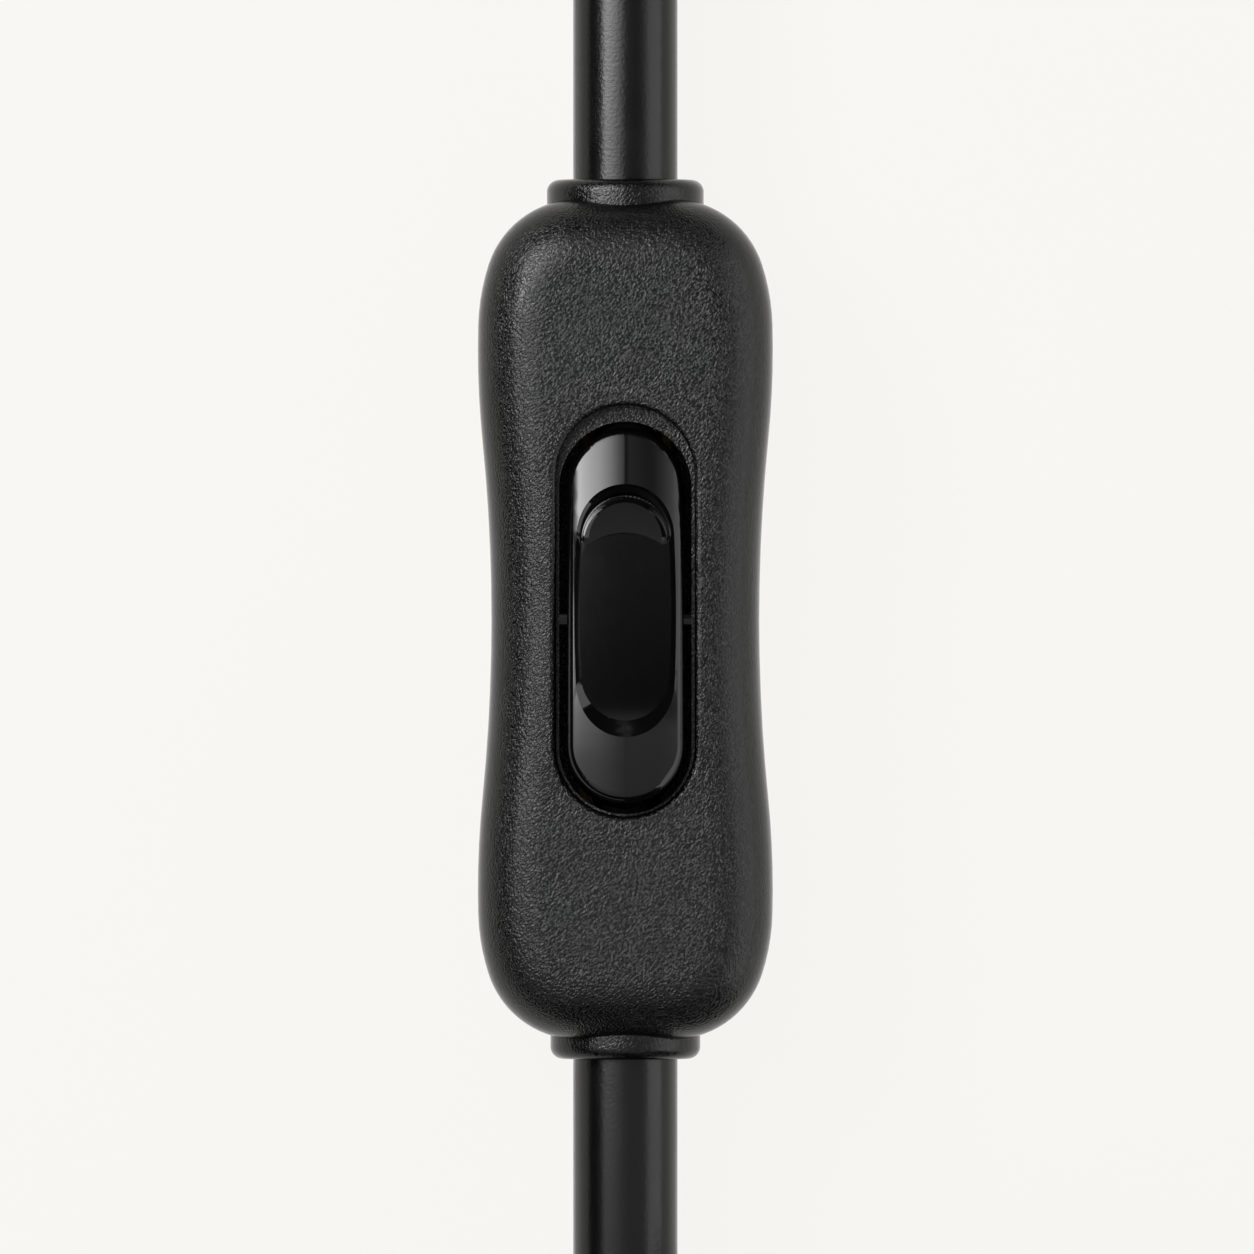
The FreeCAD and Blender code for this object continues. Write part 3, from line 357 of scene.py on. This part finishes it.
def gloss_plastic():
    """Polished black plastic with faint ripple and hairline wear."""
    s = Shader("gloss_black_plastic")
    ripple = s.noise(s.position(), scale=220, roughness=0.4)
    normal = s.bump(s.math("MULTIPLY", crescent_rim(s), RIM_RISE), 1.0, s.bump(ripple, 6e-6))
    hairs = s.noise(s.position(stretch=(1, 0.05, 1), turn=0.3), scale=5200, detail=1.0, roughness=0.4)
    rough = s.remap(hairs, 0.35, 0.75, 0.075, 0.083)
    return s.principled(GLOSS_BLACK, rough, normal, specular=0.32)


def cord_plastic():
    """Round cord jacket with the fine pimpled skin of extruded plastic."""
    s = Shader("cord_jacket_black")
    grain = s.noise(s.position(), scale=4200, detail=2.5, roughness=0.55)
    slow = s.noise(s.position(), scale=260)
    rough = s.remap(slow, 0.3, 0.7, 0.22, 0.26)
    return s.principled(SATIN_BLACK, rough, s.bump(grain, 1.6e-5), specular=0.3)


def plain_plastic(name, color, roughness=0.45):
    """Smooth plastic with a slight unevenness of tone and polish."""
    s = Shader(name)
    tone = s.noise(s.position(), scale=700, detail=3.0)
    dark = tuple(c * 0.9 for c in color)
    rough = s.remap(tone, 0.3, 0.7, roughness - 0.05, roughness + 0.05)
    return s.principled(s.tint(tone, dark, color), rough, s.bump(tone, 4e-6))


def metal(name, color, roughness, streak=(1, 1, 1)):
    """Metal with drawn or plated texture and a little tarnish."""
    s = Shader(name)
    lines = s.noise(s.position(stretch=streak), scale=3000, roughness=0.6)
    tarnish = s.noise(s.position(), scale=420, detail=3.0, roughness=0.55)
    dark = tuple(c * 0.72 for c in color)
    rough = s.remap(lines, 0.3, 0.7, roughness - 0.06, roughness + 0.08)
    return s.principled(s.tint(tarnish, dark, color), rough, s.bump(lines, 5e-6), metallic=1.0)


def dress(names, material):
    """Gives CAD nodes one material."""
    for name in names:
        mesh = nodes[name].data
        mesh.materials.clear()
        mesh.materials.append(material)


def dress_nodes(jacket):
    """Materials for every CAD node that stays in view."""
    housing = grained_plastic("housing_grained_black", 3.0e-5, 0.16)
    dress(["top_cover", "base_cover"], housing)
    dress(["inlet_bush", "outlet_bush"], grained_plastic("bush_rubber_black", 1.5e-5, 0.18))
    dress(["plug_body"], grained_plastic("plug_grained_black", 3e-5, 0.45))
    dress(["rocker"], gloss_plastic())
    dress(["inlet_jacket", "outlet_jacket"], jacket)
    dress(["plunger"], plain_plastic("nylon_natural", (0.72, 0.70, 0.64)))
    dress(["neutral_core"], plain_plastic("core_white", (0.78, 0.78, 0.75)))
    dress(["live_in_core", "live_out_core", "lamp_leads"], plain_plastic("core_black", (0.02, 0.02, 0.022)))
    dress(["cord_tie"], plain_plastic("tie_black", (0.015, 0.015, 0.016), 0.5))
    steel = metal("zinc_plated_steel", (0.62, 0.63, 0.65), 0.32)
    dress(["cover_screws", "clamp_screws", "inlet_clamp", "outlet_clamp"], steel)
    # Terminal screws: a near-black colour painted on as painted shade, so they read as dark as the shade
    # where they show inside the switch
    dress(["terminal_screws"], metal("steel_darkened_as_painted_shade", (0.045, 0.045, 0.047), 0.5))
    dress(["plunger_spring"], metal("spring_steel", (0.5, 0.5, 0.52), 0.28))
    # Brass parts: darkened far below brass's own colour as painted shade, so they read dark where they show
    # inside the switch
    brass = metal("brass_darkened_as_painted_shade", (0.11, 0.075, 0.032), 0.5, streak=(1, 0.08, 1))
    dress(["contact_lever", "fulcrum_terminal", "outlet_terminal"], brass)
    dress(["moving_contact", "fixed_contact"], metal("silver_alloy", (0.86, 0.85, 0.82), 0.25))
    dress(["conductor_ends"], metal("copper_strands", (0.8, 0.42, 0.26), 0.35, streak=(1, 0.05, 1)))
    dress(["lamp_lead_tips"], metal("tinned_strands", (0.7, 0.69, 0.66), 0.38, streak=(1, 0.05, 1)))
    dress(["plug_blades"], metal("nickel_blades", (0.72, 0.7, 0.64), 0.24, streak=(1, 0.06, 1)))


def graded_panel():
    """The overhead panel: brightest far left, cut off above the switch, soft towards its far edge."""
    s = Shader("panel_glow")
    coords = s.node("ShaderNodeTexCoord")
    split = s.node("ShaderNodeSeparateXYZ", Vector=coords.outputs["Object"])
    across = s.math("DIVIDE", split.outputs["X"], PANEL_HEIGHT)
    along = s.math("DIVIDE", split.outputs["Y"], PANEL_HEIGHT)
    lit = s.math("MULTIPLY", s.grey_ramp(across, ACROSS_STOPS), s.grey_ramp(along, ALONG_STOPS))
    level = s.math("ADD", lit, s.grey_ramp(along, LOW_STOPS))
    glow = s.node("ShaderNodeEmission", Strength=s.math("MULTIPLY", level, PANEL_STRENGTH))
    s.tree.links.new(glow.outputs[0], s.out.inputs[0])
    return s.material


def make_quad(name, corners, material):
    """A flat stage piece of one face."""
    mesh = bpy.data.meshes.new(name)
    mesh.from_pydata(corners, [], [(0, 1, 2, 3)])
    mesh.materials.append(material)
    quad = bpy.data.objects.new(name, mesh)
    bpy.context.scene.collection.objects.link(quad)
    return quad


def make_studio():
    """Panel, card, floor and a dim world."""
    x0, x1 = PANEL_X
    y0, y1 = PANEL_Y
    corners = [(x0, y0), (x1, y0), (x1, y1), (x0, y1)]
    panel = make_quad("panel", [(x, y, PANEL_HEIGHT) for x, y in corners], graded_panel())
    card_glow = Shader("card_glow")
    glow = card_glow.node("ShaderNodeEmission", Strength=CARD_STRENGTH)
    card_glow.tree.links.new(glow.outputs[0], card_glow.out.inputs[0])
    side = CARD_HALF_WIDTH
    corners = [(-side, CARD_LOW), (side, CARD_LOW), (side, CARD_HIGH), (-side, CARD_HIGH)]
    card = make_quad("card", [(CARD_X, y, z) for y, z in corners], card_glow.material)
    for lamp in (panel, card):
        lamp.visible_camera = False
        lamp.visible_shadow = False
    make_floor()
    world = bpy.data.worlds.new("dim_room")
    world.use_nodes = True
    background = world.node_tree.nodes["Background"]
    background.inputs["Color"].default_value = (*ROOM_COLOR, 1)
    background.inputs["Strength"].default_value = ROOM_STRENGTH
    bpy.context.scene.world = world


def make_floor():
    """A pale floor that keeps the shadow and shows its own colour to the camera and in reflections."""
    s = Shader("pale_floor")
    mottle = s.noise(s.position(), scale=40, detail=3.0)
    color = s.tint(mottle, tuple(c * 0.995 for c in FLOOR_COLOR), FLOOR_COLOR)
    matte = s.node("ShaderNodeBsdfDiffuse", Color=color)
    glow = s.node("ShaderNodeEmission", Color=color)
    path = s.node("ShaderNodeLightPath")
    seen = s.math("MAXIMUM", path.outputs["Is Camera Ray"], path.outputs["Is Glossy Ray"])
    seen = s.math("MAXIMUM", seen, path.outputs["Is Transmission Ray"])
    mix = s.node("ShaderNodeMixShader", Fac=s.math("MULTIPLY", seen, FLOOR_GLOW))
    s.tree.links.new(matte.outputs[0], mix.inputs[1])
    s.tree.links.new(glow.outputs[0], mix.inputs[2])
    s.tree.links.new(mix.outputs[0], s.out.inputs[0])
    half = FLOOR_HALF
    make_quad("floor", [(-half, -half, 0), (half, -half, 0), (half, half, 0), (-half, half, 0)], s.material)


place_camera()

cord_jacket = cord_plastic()
plug_points = ENTRY_RUN + hank_points() + TOP_RUN
plug_flex = make_cord("plug_flex", plug_points, CORD / 2)
lamp_flex = make_cord("lamp_flex", LAMP_RUN, CORD / 2)
for flex in (plug_flex, lamp_flex):
    flex.data.materials.append(cord_jacket)
    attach(flex, "housing")
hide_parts("plug_cord", "plug_cord_hank", "plug_cord_tail")
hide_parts("lamp_cord")
spline_length(plug_points)
spline_length(LAMP_RUN)

dress_nodes(cord_jacket)
make_studio()
bpy.context.scene.view_settings.view_transform = "Standard"
